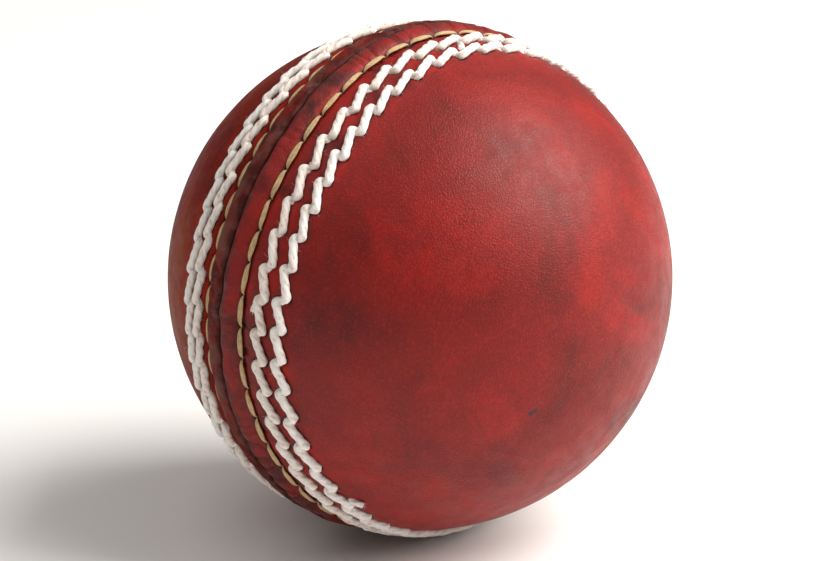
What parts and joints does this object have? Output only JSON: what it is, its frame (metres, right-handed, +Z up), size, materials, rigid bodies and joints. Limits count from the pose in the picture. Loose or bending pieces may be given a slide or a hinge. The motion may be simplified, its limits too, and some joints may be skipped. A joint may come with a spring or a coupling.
{
  "type": "cricket ball",
  "caption": "Hard red leather ball of two moulded cups sewn together along a raised equatorial seam over a cork and twine core.",
  "frame": {"origin": "centre of the ball", "axes": "the seam stands upright in the XZ plane; -Y is the front cup's pole and +Y the rear cup's; +Z is up"},
  "size_m": [0.0738, 0.0718, 0.0738],
  "materials": {
    "nugget": "moulded cork and rubber granules",
    "twine": "tightly wound worsted twine",
    "cork": "pressed cork",
    "leather": "red alum-tanned leather, waxed and lightly polished",
    "waxed_thread": "waxed linen thread",
    "white_thread": "twisted white thread, slightly soiled"
  },
  "bodies": {
    "root": {"core_nugget": "nugget", "inner_winding": "twine", "middle_winding": "twine", "outer_winding": "twine", "inner_cork_1": "cork", "inner_cork_2": "cork", "inner_cork_3": "cork", "inner_cork_4": "cork", "outer_cork_1": "cork", "outer_cork_2": "cork", "outer_cork_3": "cork", "outer_cork_4": "cork", "outer_cork_5": "cork", "outer_cork_6": "cork", "front_leather_cup": "leather", "rear_leather_cup": "leather", "closing_thread": "waxed_thread", "front_inner_stitching": "white_thread", "front_outer_stitching": "white_thread", "rear_inner_stitching": "white_thread", "rear_outer_stitching": "white_thread"}
  },
  "joints": []
}
